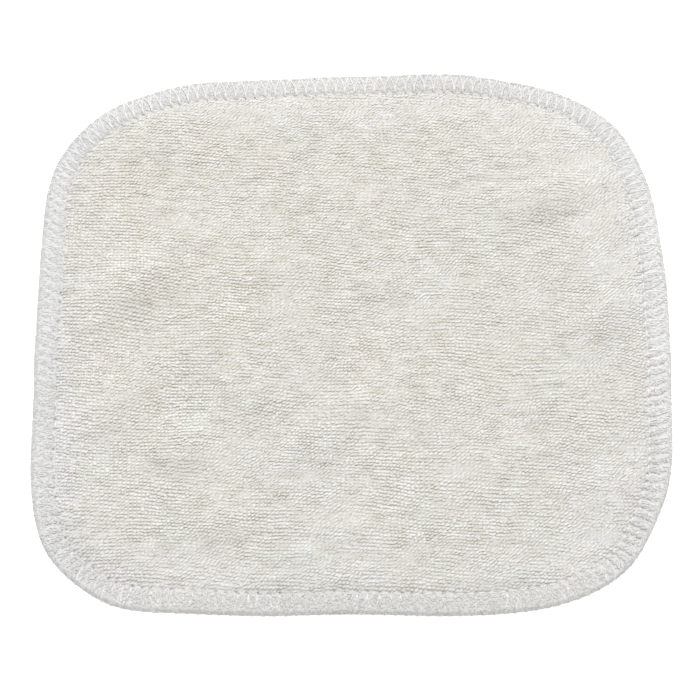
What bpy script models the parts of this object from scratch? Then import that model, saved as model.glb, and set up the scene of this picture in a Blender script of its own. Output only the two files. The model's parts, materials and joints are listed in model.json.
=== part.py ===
"""Small square of looped terry cloth with round corners and an overlocked edge.

The cloth lies flat, pile up, with the soft ridges that a washed cloth keeps.
Metres, +Z up, +X along the longer sides, +Y towards the back edge. The origin
is the middle of the cloth's box, on the surface that the cloth lies on.
"""

import math
from collections import namedtuple

import bmesh
import bpy
import numpy as np
from mathutils import Vector
from mathutils.geometry import delaunay_2d_cdt

MM = 0.001

# Driving sizes of the cut cloth, in metres
HALF_WIDTH = 84.8 * MM
HALF_DEPTH = 77.9 * MM
CLOTH_THICKNESS = 2.6 * MM      # knitted ground with its pile of loops
BAND_THICKNESS = 2.3 * MM       # pile pressed down by the overlock thread
NEEDLE_LINE = 6.0 * MM          # from the edge to the overlock's needle thread
NEEDLE_LINE_THICKNESS = 1.8 * MM
RIM_HEIGHT = 1.1 * MM           # height of the outermost line of the edge

# How finely the cloth is divided
EDGE_POINTS = 168
LATTICE_STEP = 4.8 * MM
FINE_EDGE_POINTS = 1440
LATTICE_GAP = 0.55 * LATTICE_STEP    # from the lattice to the ring round it
KEEP_INSIDE = 1                      # the triangulation's output inside the ring

TERRY_COLOUR = (0.72, 0.70, 0.65, 1.0)
TERRY_ROUGHNESS = 0.95

# Where each side stands out furthest, measured along that side from its middle
FURTHEST = {
    "right": -13.0 * MM,
    "back": 20.0 * MM,
    "left": 0.0 * MM,
    "front": -5.0 * MM,
}

# Each corner is a quarter of a superellipse between two furthest points.
# A higher fullness keeps that side straight for longer before it turns.
Corner = namedtuple("Corner", "x_side y_side fullness_x fullness_y")
CORNERS = (
    Corner("right", "back", 2.7, 4.2),
    Corner("left", "back", 3.8, 4.8),
    Corner("left", "front", 5.0, 4.8),
    Corner("right", "front", 5.0, 2.6),
)

# Unevenness of the cut edge: a smooth swelling, negative for a hollow
Swelling = namedtuple("Swelling", "x y reach out")
SWELLINGS = (
    Swelling(-46.0 * MM, 75.0 * MM, 14.0 * MM, 0.4 * MM),
    Swelling(-22.0 * MM, 76.5 * MM, 20.0 * MM, -0.5 * MM),
    Swelling(22.0 * MM, 78.0 * MM, 20.0 * MM, 0.4 * MM),
    Swelling(44.0 * MM, 76.0 * MM, 14.0 * MM, -0.4 * MM),
    Swelling(72.0 * MM, 62.0 * MM, 16.0 * MM, 0.6 * MM),
    Swelling(83.5 * MM, 28.0 * MM, 16.0 * MM, -0.4 * MM),
    Swelling(84.5 * MM, -22.0 * MM, 16.0 * MM, -0.5 * MM),
    Swelling(78.0 * MM, -55.0 * MM, 14.0 * MM, -0.6 * MM),
    Swelling(0.0 * MM, -78.0 * MM, 24.0 * MM, -0.5 * MM),
    Swelling(-57.0 * MM, -77.0 * MM, 14.0 * MM, 0.5 * MM),
    Swelling(-73.0 * MM, -69.0 * MM, 14.0 * MM, -0.7 * MM),
    Swelling(-84.5 * MM, -22.0 * MM, 18.0 * MM, -0.4 * MM),
    Swelling(-83.0 * MM, 45.0 * MM, 16.0 * MM, 0.4 * MM),
    Swelling(-74.0 * MM, 61.0 * MM, 14.0 * MM, -0.5 * MM),
)

# Soft ridges, where the cloth is lifted off the surface. Each is a rounded
# bell over an oval of the given length and width, turned from +X in degrees.
Ridge = namedtuple("Ridge", "x y turn length width height")
RIDGES = (
    Ridge(-59 * MM, 13 * MM, 41, 62 * MM, 24 * MM, 1.6 * MM),
    Ridge(-52 * MM, -13 * MM, 42, 60 * MM, 20 * MM, 1.1 * MM),
    Ridge(-45 * MM, -33 * MM, 5, 28 * MM, 18 * MM, 0.9 * MM),
    Ridge(-27 * MM, -18 * MM, 7, 24 * MM, 16 * MM, 0.6 * MM),
    Ridge(-8 * MM, -29 * MM, 35, 62 * MM, 18 * MM, 0.9 * MM),
    Ridge(-30 * MM, -54 * MM, 22, 26 * MM, 16 * MM, 0.7 * MM),
    Ridge(-2 * MM, -56 * MM, 5, 22 * MM, 14 * MM, 0.5 * MM),
    Ridge(-16 * MM, 17 * MM, 2, 44 * MM, 15 * MM, 0.4 * MM),
    Ridge(8 * MM, 12 * MM, 5, 24 * MM, 14 * MM, 0.5 * MM),
    Ridge(-52 * MM, 56 * MM, 7, 36 * MM, 18 * MM, 0.5 * MM),
    Ridge(55 * MM, 40 * MM, 18, 44 * MM, 20 * MM, 1.4 * MM),
    Ridge(68 * MM, 4 * MM, 54, 30 * MM, 18 * MM, 1.0 * MM),
    Ridge(55 * MM, -21 * MM, 8, 26 * MM, 16 * MM, 0.4 * MM),
    Ridge(63 * MM, -45 * MM, 3, 38 * MM, 16 * MM, 0.5 * MM),
    Ridge(-44 * MM, -78 * MM, 2, 54 * MM, 26 * MM, 1.3 * MM),
    Ridge(62 * MM, -72 * MM, 30, 42 * MM, 24 * MM, 0.9 * MM),
    Ridge(-85 * MM, -10 * MM, 90, 52 * MM, 22 * MM, 0.9 * MM),
    Ridge(30 * MM, 78 * MM, 0, 62 * MM, 24 * MM, 0.8 * MM),
    Ridge(-73 * MM, 62 * MM, 45, 38 * MM, 24 * MM, 0.7 * MM),
    Ridge(85 * MM, 20 * MM, 90, 48 * MM, 22 * MM, 0.8 * MM),
)

# The edge in section: distance in from the rim, and height over the lifted base
Station = namedtuple("Station", "inward height")
UPPER_FACE = (
    Station(0.3 * MM, 0.72 * BAND_THICKNESS),
    Station(1.0 * MM, 0.93 * BAND_THICKNESS),
    Station(2.6 * MM, BAND_THICKNESS),
    Station(4.7 * MM, 0.94 * BAND_THICKNESS),
    Station(NEEDLE_LINE, NEEDLE_LINE_THICKNESS),
    Station(NEEDLE_LINE + 1.2 * MM, 0.85 * CLOTH_THICKNESS),
    Station(NEEDLE_LINE + 3.2 * MM, CLOTH_THICKNESS),
)
UNDER_FACE = (
    Station(0.4 * MM, 0.3 * MM),
    Station(1.3 * MM, 0.0),
)


def clear_scene():
    """Remove every object of the open scene."""
    for item in list(bpy.data.objects):
        bpy.data.objects.remove(item, do_unlink=True)


def bell(distance):
    """Rounded bell: 1 at distance 0, falling to 0 with no slope at distance 1."""
    return np.clip(1.0 - distance * distance, 0.0, None) ** 2


def side_extremes():
    """The furthest point of each side, as x and y."""
    return {
        "right": (HALF_WIDTH, FURTHEST["right"]),
        "left": (-HALF_WIDTH, FURTHEST["left"]),
        "back": (FURTHEST["back"], HALF_DEPTH),
        "front": (FURTHEST["front"], -HALF_DEPTH),
    }


def corner_arc(corner, count):
    """Points of one corner, from its x side's furthest point to its y side's."""
    far = side_extremes()
    side_x, start_y = far[corner.x_side]
    end_x, side_y = far[corner.y_side]
    angle = np.linspace(0.0, math.pi / 2, count)
    x = end_x + (side_x - end_x) * np.cos(angle) ** (2 / corner.fullness_x)
    y = start_y + (side_y - start_y) * np.sin(angle) ** (2 / corner.fullness_y)
    return np.column_stack([x, y])


def even_spacing(points, count):
    """The same number of steps of equal length round a closed line of points."""
    ring = np.vstack([points, points[:1]])
    step = np.hypot(*np.diff(ring, axis=0).T)
    ring = ring[np.concatenate([[True], step > 1e-9])]
    along = np.concatenate([[0.0], np.cumsum(np.hypot(*np.diff(ring, axis=0).T))])
    wanted = np.linspace(0.0, along[-1], count, endpoint=False)
    return np.column_stack([np.interp(wanted, along, ring[:, axis]) for axis in (0, 1)])


def outward(points):
    """Unit vectors pointing out of a ring that runs anticlockwise."""
    tangent = np.roll(points, -1, axis=0) - np.roll(points, 1, axis=0)
    tangent /= np.linalg.norm(tangent, axis=1)[:, None]
    return np.column_stack([tangent[:, 1], -tangent[:, 0]])


def fine_outline():
    """The cut edge as a fine ring, anticlockwise, centred on its own box."""
    arcs = []
    for corner in CORNERS:
        arc = corner_arc(corner, FINE_EDGE_POINTS // 4)
        runs_clockwise = (corner.x_side == "left") != (corner.y_side == "front")
        arcs.append(arc[::-1] if runs_clockwise else arc)
    ring = even_spacing(np.vstack(arcs), FINE_EDGE_POINTS)
    shift = np.zeros(len(ring))
    for swelling in SWELLINGS:
        away = np.hypot(ring[:, 0] - swelling.x, ring[:, 1] - swelling.y)
        shift += swelling.out * bell(away / swelling.reach)
    ring = ring + outward(ring) * shift[:, None]
    return ring - (ring.min(axis=0) + ring.max(axis=0)) / 2


def lift(points):
    """Height of the cloth's base over the surface at each point."""
    height = np.zeros(len(points))
    for ridge in RIDGES:
        turn = math.radians(ridge.turn)
        dx = points[:, 0] - ridge.x
        dy = points[:, 1] - ridge.y
        along = (dx * math.cos(turn) + dy * math.sin(turn)) / (ridge.length / 2)
        across = (dy * math.cos(turn) - dx * math.sin(turn)) / (ridge.width / 2)
        height += ridge.height * bell(np.hypot(along, across))
    return height


def inward_ring(edge, normals, inward):
    """The edge ring moved in by a distance, evened out over a few points."""
    ring = edge - normals * inward
    for _ in range(3):
        ring = (np.roll(ring, 1, axis=0) + 2 * ring + np.roll(ring, -1, axis=0)) / 4
    return ring


def lattice_inside(fine, margin):
    """Points of a staggered lattice that lie further in than the margin."""
    row_step = LATTICE_STEP * math.sqrt(3) / 2
    rows = np.arange(-HALF_DEPTH, HALF_DEPTH, row_step)
    columns = np.arange(-HALF_WIDTH, HALF_WIDTH, LATTICE_STEP)
    x, y = np.meshgrid(columns, rows)
    x = x + (np.arange(len(rows)) % 2)[:, None] * LATTICE_STEP / 2
    points = np.column_stack([x.ravel(), y.ravel()])
    apart = points[:, None, :] - fine[None, :, :]
    nearest = np.argmin((apart ** 2).sum(axis=2), axis=1)
    from_edge = apart[np.arange(len(points)), nearest]
    depth_inside = -(from_edge * outward(fine)[nearest]).sum(axis=1)
    return points[depth_inside > margin]


def add_points(mesh, points, height):
    """Vertices at one height over the lifted base."""
    heights = lift(points) + height
    return [mesh.verts.new((p[0], p[1], z)) for p, z in zip(points, heights)]


def add_face(mesh, ring, fine, inward, height, upwards):
    """Fill a ring of vertices with a lattice of triangles at the ring's height."""
    inner = lattice_inside(fine, inward + LATTICE_GAP)
    flat = [Vector((v.co.x, v.co.y)) for v in ring] + [Vector(p) for p in inner]
    around = [(i, (i + 1) % len(ring)) for i in range(len(ring))]
    triangles = delaunay_2d_cdt(flat, around, [], KEEP_INSIDE, 1e-7)[2]
    corners = ring + add_points(mesh, inner, height)
    for triangle in triangles:
        order = triangle if upwards else triangle[::-1]
        mesh.faces.new([corners[i] for i in order])


def join_rings(mesh, outer, inner, upwards):
    """A strip of quads between two rings of the same number of vertices."""
    count = len(outer)
    for i in range(count):
        j = (i + 1) % count
        quad = [outer[i], outer[j], inner[j], inner[i]]
        mesh.faces.new(quad if upwards else quad[::-1])


def terry_material():
    """Off-white looped cotton."""
    material = bpy.data.materials.new("terry")
    material.use_nodes = True
    shader = material.node_tree.nodes["Principled BSDF"]
    shader.inputs["Base Color"].default_value = TERRY_COLOUR
    shader.inputs["Roughness"].default_value = TERRY_ROUGHNESS
    shader.inputs["Metallic"].default_value = 0.0
    return material


def make_cloth():
    """The whole cloth as one closed body: rim, upper face and under face."""
    fine = fine_outline()
    edge = even_spacing(fine, EDGE_POINTS)
    normals = outward(edge)
    mesh = bmesh.new()
    rim = add_points(mesh, edge, RIM_HEIGHT)
    for stations, upwards in ((UPPER_FACE, True), (UNDER_FACE, False)):
        outer = rim
        for station in stations:
            points = inward_ring(edge, normals, station.inward)
            inner = add_points(mesh, points, station.height)
            join_rings(mesh, outer, inner, upwards)
            outer = inner
        last = stations[-1]
        add_face(mesh, outer, fine, last.inward, last.height, upwards)
    bmesh.ops.triangulate(mesh, faces=mesh.faces[:])
    data = bpy.data.meshes.new("terry_cloth")
    mesh.to_mesh(data)
    mesh.free()
    data.shade_smooth()
    data.materials.append(terry_material())
    cloth = bpy.data.objects.new("terry_cloth", data)
    bpy.context.scene.collection.objects.link(cloth)
    return cloth


def main():
    clear_scene()
    make_cloth()


if __name__ == "__main__":
    main()
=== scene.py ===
"""The looks of a small terry cloth square with an overlocked edge.

The knitted ground, every loop of the pile and the overlock thread are modelled
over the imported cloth. Metres, +Z up, +Y towards the cloth's back edge.
"""

import json
import math
from collections import namedtuple

import bpy
import numpy as np
from bpy.props import FloatProperty, FloatVectorProperty, IntProperty, PointerProperty
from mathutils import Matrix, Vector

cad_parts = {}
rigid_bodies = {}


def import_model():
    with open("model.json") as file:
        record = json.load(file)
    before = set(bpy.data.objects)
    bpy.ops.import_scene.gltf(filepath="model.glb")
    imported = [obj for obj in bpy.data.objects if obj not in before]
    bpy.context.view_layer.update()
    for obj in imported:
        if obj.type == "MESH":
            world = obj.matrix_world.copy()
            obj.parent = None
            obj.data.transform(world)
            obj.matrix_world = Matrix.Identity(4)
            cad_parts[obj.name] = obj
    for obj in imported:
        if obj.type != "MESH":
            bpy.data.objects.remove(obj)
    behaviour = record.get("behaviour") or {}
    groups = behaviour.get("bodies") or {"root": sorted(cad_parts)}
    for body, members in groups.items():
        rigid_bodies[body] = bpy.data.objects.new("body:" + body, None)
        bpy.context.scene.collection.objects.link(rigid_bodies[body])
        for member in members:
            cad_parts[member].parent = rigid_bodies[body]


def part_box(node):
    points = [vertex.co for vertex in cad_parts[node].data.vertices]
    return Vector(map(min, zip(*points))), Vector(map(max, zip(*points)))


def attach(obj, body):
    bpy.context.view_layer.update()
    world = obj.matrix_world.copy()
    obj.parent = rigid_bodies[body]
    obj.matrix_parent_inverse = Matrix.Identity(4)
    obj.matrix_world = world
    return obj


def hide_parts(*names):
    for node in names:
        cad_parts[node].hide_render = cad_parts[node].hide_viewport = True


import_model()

bl_info = {
    "name": "Terry Cloth Square",
    "version": (1, 0, 0),
    "blender": (4, 5, 0),
    "location": "View3D > Sidebar > Terry Cloth",
    "description": "Builds a looped terry cloth square with an overlocked edge",
    "category": "Add Mesh",
}

MM = 0.001
CLOTH_NODE = "terry_cloth"
CLOTH_LOW, CLOTH_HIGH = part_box(CLOTH_NODE)
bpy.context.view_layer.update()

# How the cut edge runs: each side's furthest point lies at this place along it
FURTHEST = {"right": -13.0 * MM, "back": 20.0 * MM, "left": 0.0, "front": -5.0 * MM}

# Each corner is a quarter of a superellipse between two furthest points
Corner = namedtuple("Corner", "x_side y_side fullness_x fullness_y")
CORNERS = (
    Corner("right", "back", 2.7, 4.2),
    Corner("left", "back", 3.8, 4.8),
    Corner("left", "front", 5.0, 4.8),
    Corner("right", "front", 5.0, 2.6),
)

# Unevenness of the hand-cut edge, in millimetres, negative for a hollow
Swelling = namedtuple("Swelling", "x y reach out")
SWELLINGS = (
    Swelling(-46, 75, 14, 0.4),
    Swelling(-22, 76.5, 20, -0.5),
    Swelling(22, 78, 20, 0.4),
    Swelling(44, 76, 14, -0.4),
    Swelling(72, 62, 16, 0.6),
    Swelling(83.5, 28, 16, -0.4),
    Swelling(84.5, -22, 16, -0.5),
    Swelling(78, -55, 14, -0.6),
    Swelling(0, -78, 24, -0.5),
    Swelling(-57, -77, 14, 0.5),
    Swelling(-73, -69, 14, -0.7),
    Swelling(-84.5, -22, 18, -0.4),
    Swelling(-83, 45, 16, 0.4),
    Swelling(-74, 61, 14, -0.5),
)

# Soft ridges that lift the cloth, in millimetres, turned from +X in degrees
Ridge = namedtuple("Ridge", "x y turn length width height")
RIDGES = (
    Ridge(-59, 13, 41, 62, 24, 1.6),
    Ridge(-52, -13, 42, 60, 20, 1.1),
    Ridge(-45, -33, 5, 28, 18, 0.9),
    Ridge(-27, -18, 7, 24, 16, 0.6),
    Ridge(-8, -29, 35, 62, 18, 0.9),
    Ridge(-30, -54, 22, 26, 16, 0.7),
    Ridge(-2, -56, 5, 22, 14, 0.5),
    Ridge(-16, 17, 2, 44, 15, 0.4),
    Ridge(8, 12, 5, 24, 14, 0.5),
    Ridge(-52, 56, 7, 36, 18, 0.5),
    Ridge(55, 40, 18, 44, 20, 1.4),
    Ridge(68, 4, 54, 30, 18, 1.0),
    Ridge(55, -21, 8, 26, 16, 0.4),
    Ridge(63, -45, 3, 38, 16, 0.5),
    Ridge(-44, -78, 2, 54, 26, 1.3),
    Ridge(62, -72, 30, 42, 24, 0.9),
    Ridge(-85, -10, 90, 52, 22, 0.9),
    Ridge(30, 78, 0, 62, 24, 0.8),
    Ridge(-73, 62, 45, 38, 24, 0.7),
    Ridge(85, 20, 90, 48, 22, 0.8),
)

# The knitted ground's upper face in section, in millimetres
Station = namedtuple("Station", "inward height")
GROUND_SECTION = (
    Station(1.15, 2.18),
    Station(2.6, 2.20),
    Station(4.6, 2.10),
    Station(6.0, 1.80),
    Station(7.2, 2.02),
    Station(9.5, 2.26),
)
# How far the loops stand over it, past the needle line
PILE_SECTION = (
    Station(5.4, 0.00),
    Station(6.2, 0.14),
    Station(7.4, 0.175),
    Station(9.5, 0.19),
)
NOSE_CENTRE = 1.15 * MM      # the rounded rim's centre: inward, and over the base
GROUND_NOSE = 1.03 * MM      # radius of the ground at the rim
PILE_NOSE = 1.01 * MM        # radius at which the rim's short pile is rooted
THREAD_NOSE = 1.12 * MM      # radius at which the thread passes over the rim
UNDER_FACE = 0.12 * MM       # the ground's under face, over the base
LINE_IN_SECTION = 6.0 * MM   # where the needle line lies in both sections

# How the overlock looks round the edge, by bearing in degrees: 0 is the right
# side, 90 the back. Heights over the pile and depths are in millimetres. The skew
# is how far the thread leans along the edge on its way out, in half stitches. The
# line is the needle line's distance from the edge. White, inner and halo are the
# shares of white in the pile at the rim, at the needle line and just past it. The
# last column is painted shade on the band's pile, painted light where negative.
Stretch = namedtuple(
    "Stretch",
    "bearing line first_leg second_leg foot needle skew furrow groove fuzz white inner halo dull")
STRETCHES = (
    Stretch(0, 6.4, -0.08, -0.18, -0.04, 0.00, 0.6, 0.35, 0.10, 0.07, 0.85, 0.55, 0.25, -0.35),
    Stretch(15, 6.4, 0.02, -0.15, 0.02, 0.08, 0.7, 0.35, 0.05, 0.06, 0.85, 0.50, 0.25, -0.35),
    Stretch(30, 6.3, 0.05, -0.05, 0.05, 0.08, 0.7, 0.30, 0.00, 0.05, 0.85, 0.45, 0.20, -0.20),
    Stretch(42, 6.2, 0.08, 0.02, 0.06, 0.00, 0.35, 0.20, 0.05, 0.05, 0.85, 0.40, 0.20, -0.10),
    Stretch(55, 6.0, 0.08, 0.06, 0.06, -0.10, 0.0, 0.12, 0.00, 0.06, 0.85, 0.40, 0.20, 0.00),
    Stretch(90, 5.9, 0.08, 0.06, 0.05, -0.15, 0.0, 0.08, 0.05, 0.07, 0.85, 0.40, 0.25, -0.06),
    Stretch(125, 6.0, 0.08, 0.05, 0.04, -0.15, 0.0, 0.10, 0.00, 0.06, 0.90, 0.60, 0.25, -0.05),
    Stretch(140, 6.2, 0.02, 0.13, 0.00, -0.20, -0.3, 0.12, 0.05, 0.05, 0.95, 0.80, 0.25, 0.05),
    Stretch(150, 6.3, -0.12, 0.15, -0.10, -0.20, -0.7, 0.15, 0.05, 0.05, 1.00, 0.85, 0.25, 0.08),
    Stretch(164, 6.2, -0.22, 0.12, -0.16, -0.25, -0.8, 0.15, 0.05, 0.05, 1.00, 0.90, 0.30, 0.08),
    Stretch(174, 6.1, -0.30, -0.20, -0.25, -0.25, -0.4, 0.15, 0.05, 0.08, 1.00, 0.90, 0.60, 0.08),
    Stretch(208, 6.1, -0.30, -0.30, -0.30, -0.20, 0.0, 0.20, 0.05, 0.09, 1.00, 0.95, 1.00, -0.05),
    Stretch(222, 6.2, -0.16, -0.20, -0.20, -0.20, 0.0, 0.45, 0.06, 0.10, 0.90, 0.70, 0.55, 0.10),
    Stretch(238, 6.3, -0.25, -0.25, -0.25, -0.20, 0.0, 0.25, 0.14, 0.11, 0.60, 0.50, 0.40, 0.20),
    Stretch(270, 5.7, -0.30, -0.30, -0.19, -0.15, 0.0, 0.15, 0.16, 0.13, 0.55, 0.55, 0.25, 0.38),
    Stretch(300, 5.6, -0.30, -0.25, -0.28, 0.05, 0.0, 0.20, 0.10, 0.11, 0.60, 0.45, 0.30, 0.20),
    Stretch(325, 5.8, -0.28, -0.26, -0.22, 0.08, 0.0, 0.50, 0.08, 0.09, 0.80, 0.55, 0.35, 0.00),
    Stretch(345, 6.2, -0.10, -0.18, -0.08, 0.04, 0.4, 0.45, 0.08, 0.07, 0.90, 0.60, 0.30, -0.25),
)

# Where the loops lie differently, in millimetres: 1 is plump and round, -1 is
# brushed flat and long
Nap = namedtuple("Nap", "x y reach_x reach_y plump")
NAPS = (
    Nap(-74, -28, 24, 48, 1.3),
    Nap(-66, 20, 26, 44, 1.0),
    Nap(-48, 6, 30, 16, 0.6),
    Nap(-62, -58, 26, 20, 0.5),
    Nap(-40, -22, 22, 16, 0.5),
    Nap(14, -62, 16, 14, 0.6),
    Nap(-42, 33, 14, 14, -0.6),
    Nap(-24, 38, 10, 18, -0.5),
    Nap(74, 32, 18, 42, -2.3),
    Nap(62, 62, 34, 24, -2.2),
    Nap(0, 67, 70, 8, -0.9),
    Nap(66, -30, 12, 34, -0.4),
    Nap(6, 4, 26, 12, -0.4),
    Nap(-16, -40, 24, 10, -0.5),
    Nap(-10, -66, 60, 12, -0.7),
    Nap(58, -60, 30, 22, -0.5),
)

# Painted shade along the creases, darkening the loops there, in millimetres, turned
# from +X in degrees. A negative share is painted light on a stretch that catches more light.
CreaseShade = namedtuple("CreaseShade", "x y turn length width share")
PAINTED_CREASE_SHADES = (
    CreaseShade(-57.1, 9.1, 39, 40, 13, 1.5),
    CreaseShade(52.4, 34.3, 20, 36, 11, 1.1),
    CreaseShade(-41.8, -13.4, -20, 16, 9, 1.0),
    CreaseShade(-65.0, -29.4, -10, 18, 8, 0.6),
    CreaseShade(-13.7, -43.2, 25, 28, 9, 0.9),
    CreaseShade(4.5, -23.8, 28, 26, 9, 0.8),
    CreaseShade(-46.3, -39.1, -5, 26, 9, 0.9),
    CreaseShade(68.6, -1.1, 48, 26, 8, 0.7),
    CreaseShade(-31.6, -58.1, 20, 22, 8, 0.8),
    CreaseShade(-22, 12.6, 0, 36, 9, 0.6),
    CreaseShade(7.3, 10.6, 0, 20, 10, 0.8),
    CreaseShade(-50.3, 51.1, 5, 32, 14, 0.6),
    CreaseShade(20.5, 31.2, -5, 28, 8, 0.5),
    CreaseShade(-27.1, -23.8, 10, 20, 9, 0.7),
    CreaseShade(55, 14, 0, 20, 8, 0.5),
    CreaseShade(51, -26, 20, 22, 8, 0.4),
    CreaseShade(-3.3, -60.8, -10, 18, 7, 0.5),
    CreaseShade(-73.9, -5.4, 60, 30, 9, 0.5),
    CreaseShade(-61.6, 20.3, 30, 28, 10, -0.7),
    CreaseShade(-70.6, -21.0, 20, 20, 11, -0.8),
    CreaseShade(-56.4, -12.5, 30, 26, 10, -0.5),
    CreaseShade(-44.1, -26.6, 20, 20, 12, -0.9),
    CreaseShade(-29.6, -30.8, 30, 26, 13, -0.5),
    CreaseShade(8.6, 0.4, 10, 17, 12, -0.9),
    CreaseShade(20.9, 20.3, 0, 24, 8, -0.5),
    CreaseShade(67.1, 25.3, 60, 22, 10, -0.5),
    CreaseShade(76.1, -11.1, 60, 28, 12, -0.4),
    CreaseShade(-33.5, 35.8, -60, 26, 9, -0.4),
    CreaseShade(55.9, 57.2, 0, 30, 14, -0.4),
)

# Random unevenness: its spread, its wavelength in millimetres, how far it is drawn out
# along the rows (one is not at all, and less is longer) and the seed of its waves
Waves = namedtuple("Waves", "spread length drawn seed")
DENTS = Waves(0.06 * MM, 8, 0.45, 5)
ROW_BENDS = (Waves(0.42 * MM, 32, 1, 1), Waves(0.42 * MM, 30, 1, 2))
LOOP_STIRS = (Waves(0.06 * MM, 7, 1, 3), Waves(0.06 * MM, 7, 1, 4))
ROW_SLIDE = Waves(0.16 * MM, 2.4, 0.2, 10)
NAP_WAVES = Waves(0.35, 24, 1, 12)
SLANT_WAVES = Waves(math.radians(5), 13, 1, 6)
LEAN_WAVES = (Waves(0.04, 12, 0.6, 7), Waves(0.07, 8, 0.3, 8))
SWELL_WAVES = Waves(0.24, 2.3, 0.28, 9)
STREAKS = Waves(0.010, 7, 0.3, 13)
CLUMPS = Waves(1, 2.5, 0.36, 14)
TUFTS = Waves(1, 1.9, 1, 15)

# What changes where loops are plump and where they're brushed flat: their turn in
# radians, and shares of their length, width and height
Change = namedtuple("Change", "plump brushed")
TURN_CHANGE = Change(-math.radians(16), math.radians(8))
LENGTH_CHANGE = Change(-0.14, 0.30)
WIDTH_CHANGE = Change(0.20, -0.03)
SWELL_CHANGE = Change(0.38, -0.78)

# The loops of the field, and the short ones of the matted pile. What varies is at
# random: shares of a loop's length, width and height.
FIELD_START = 0.2 * MM       # from the needle line to the first loops
LATTICE_REACH = 0.1          # half the lattice that the loops are picked from
SPOT_SPREAD = 0.09 * MM      # how far a loop stands from its place in the lattice
LOOP_VARIES = (0.10, 0.09, 0.20)
LOOP_HEIGHT = 0.93           # share of the pile section's height
LOWEST = 0.2                 # share of its height that the flattest loop keeps
SUNK_SHARE = 0.04            # share of the loops that are sunk into the ground
SUNK_DEPTH = 0.12 * MM
FUZZ_VARIES = (0.18, 0.15, 0.30)
FUZZ_LENGTH = 1.00 * MM
FUZZ_WIDTH = 0.50 * MM

# Light and shade of the loops, as shares
FEET_PALE = 0.48             # how far a loop's feet are as pale as its tip, free of the painted root shade
PLUMP_PAINTED_LIGHT = 0.07            # painted light where loops are plump, against the shade of their gaps
CLUMP_GLOW = 0.023           # paler on clumps of loops
LINE_PAINTED_LIGHT = 0.02             # painted light just past the needle line, beside the groove's shade
RIM_PAINTED_LIGHT = 0.07              # painted light where the rim turns down, away from the light
CREASE_SHADE_DARK = 0.07          # painted shade along the creases
BAND_PAINTED_SHADE = 0.16             # painted shade in the band, where the stretch table's last column is one

# Tints that the cotton's colours are multiplied by
COOLER, WARMER = (0.975, 0.990, 1.005), (1.003, 0.974, 0.938)
PINKER, GREENER = (1.030, 0.972, 1.030), (0.970, 1.026, 0.970)
# Painted shade, brown, at the loops' feet, where the gaps between loops lie
ROOT_PAINTED_SHADE = (0.77, 0.715, 0.55)
# Painted shade in the stitches' hollows, against their crowns
STITCH_HOLLOW_SHADE, STITCH_CROWN = (0.82, 0.795, 0.745), (0.93, 0.915, 0.885)
SHADE_POWERS = (0.95, 1.0, 1.12)     # of red, green and blue: shade is brown in the field
WARM_SLOPE = (-2.2, 2.6, 0.0)        # warmth gained a metre to the right, and to the back
FLECK_SPREAD = 1.7                   # how strongly fine flecks differ in warmth

# Where the ground's rings stand: shares of the way from the middle to the edge, then
# millimetres in from the edge, and degrees round the rim's half circle
FIELD_RINGS = np.linspace(0.03, 0.86, 36)
BAND_RINGS = (10.5, 9.3, 8.2, 7.3, 6.6, 6.0, 5.3, 4.4, 3.4, 2.4, 1.6)
RIM_RINGS = (90, 60, 30, 0, -30, -60, -90)
UNDER_RINGS = (3.0, 6.0, 10.5)

# The overlock's furrows, groove and needle holes: half widths, and how far the groove
# lies in from the needle line
FURROW_WIDTH = 0.5 * MM
GROOVE_WIDTH = 0.8 * MM
GROOVE_PAST = 0.3 * MM
HOLE_WIDTH = 0.42 * MM
HOLE_DEPTH = 0.35            # in millimetres, as the furrows' and the groove's are

CUT_HALF = (84.8 * MM, 77.9 * MM)    # half the cloth's size before its edge swells
EDGE_SAMPLES = 1440          # points round the cut edge
CHUNK = 4000                 # points whose place along the edge is found at once
PILE_BLOCKS = 4              # joined meshes that the field's loops are divided into

Loop = namedtuple("Loop", "along side up tip faces")

# The threads' paths
FOOT_POINTS = 5              # of each short foot of the upper looper thread
PAIR_GAP = 0.42              # share of its diameter from a stitch to each of its feet
TWIST = 6                    # how steeply the thread's twist runs round it
OVER_RIM = -0.13             # in millimetres, its greatest height where it rounds the rim
UNDER_JOIN = 3.4 * MM        # from the edge to where the back's legs meet

# The stage, in metres and radians: the floor, the soft light and what the camera sees
FLOOR_HALF = 3.0
KEY_SIZE = 1.3
KEY_PLACE = (0.04, 1.15, 1.38)
KEY_TURN = (math.radians(-39.9), 0, math.radians(-2))
AIM = (-0.75 * MM, -4.5 * MM, 0.0)


class TerryClothSizes(bpy.types.PropertyGroup):
    """Sizes and colours of the knitted ground and the pile."""

    column_step: FloatProperty(
        name="Column Step", description="Distance between neighbouring loops of a row",
        default=1.03 * MM, unit="LENGTH", precision=5)
    row_step: FloatProperty(
        name="Row Step", description="Distance between rows of loops",
        default=0.95 * MM, unit="LENGTH", precision=5)
    row_fall: FloatProperty(
        name="Row Fall", description="How far the rows drop to the right",
        default=math.radians(4.6), subtype="ANGLE")
    loop_length: FloatProperty(
        name="Loop Length", description="Length of a loop seen from above",
        default=1.26 * MM, unit="LENGTH", precision=5)
    loop_width: FloatProperty(
        name="Loop Width", description="Width of the yarn in a loop",
        default=0.74 * MM, unit="LENGTH", precision=5)
    loop_slant: FloatProperty(
        name="Loop Slant", description="Turn of the loops from their row",
        default=math.radians(26), subtype="ANGLE")
    cream: FloatVectorProperty(
        name="Cream", description="Colour of the loops' tips",
        default=(0.851, 0.846, 0.828), subtype="COLOR", size=3)
    white: FloatVectorProperty(
        name="Band White", description="Colour of the pressed pile in the overlocked band",
        default=(0.806, 0.803, 0.814), subtype="COLOR", size=3)
    seed: IntProperty(
        name="Seed", description="Picks the unevenness of the pile", default=11)


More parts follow.
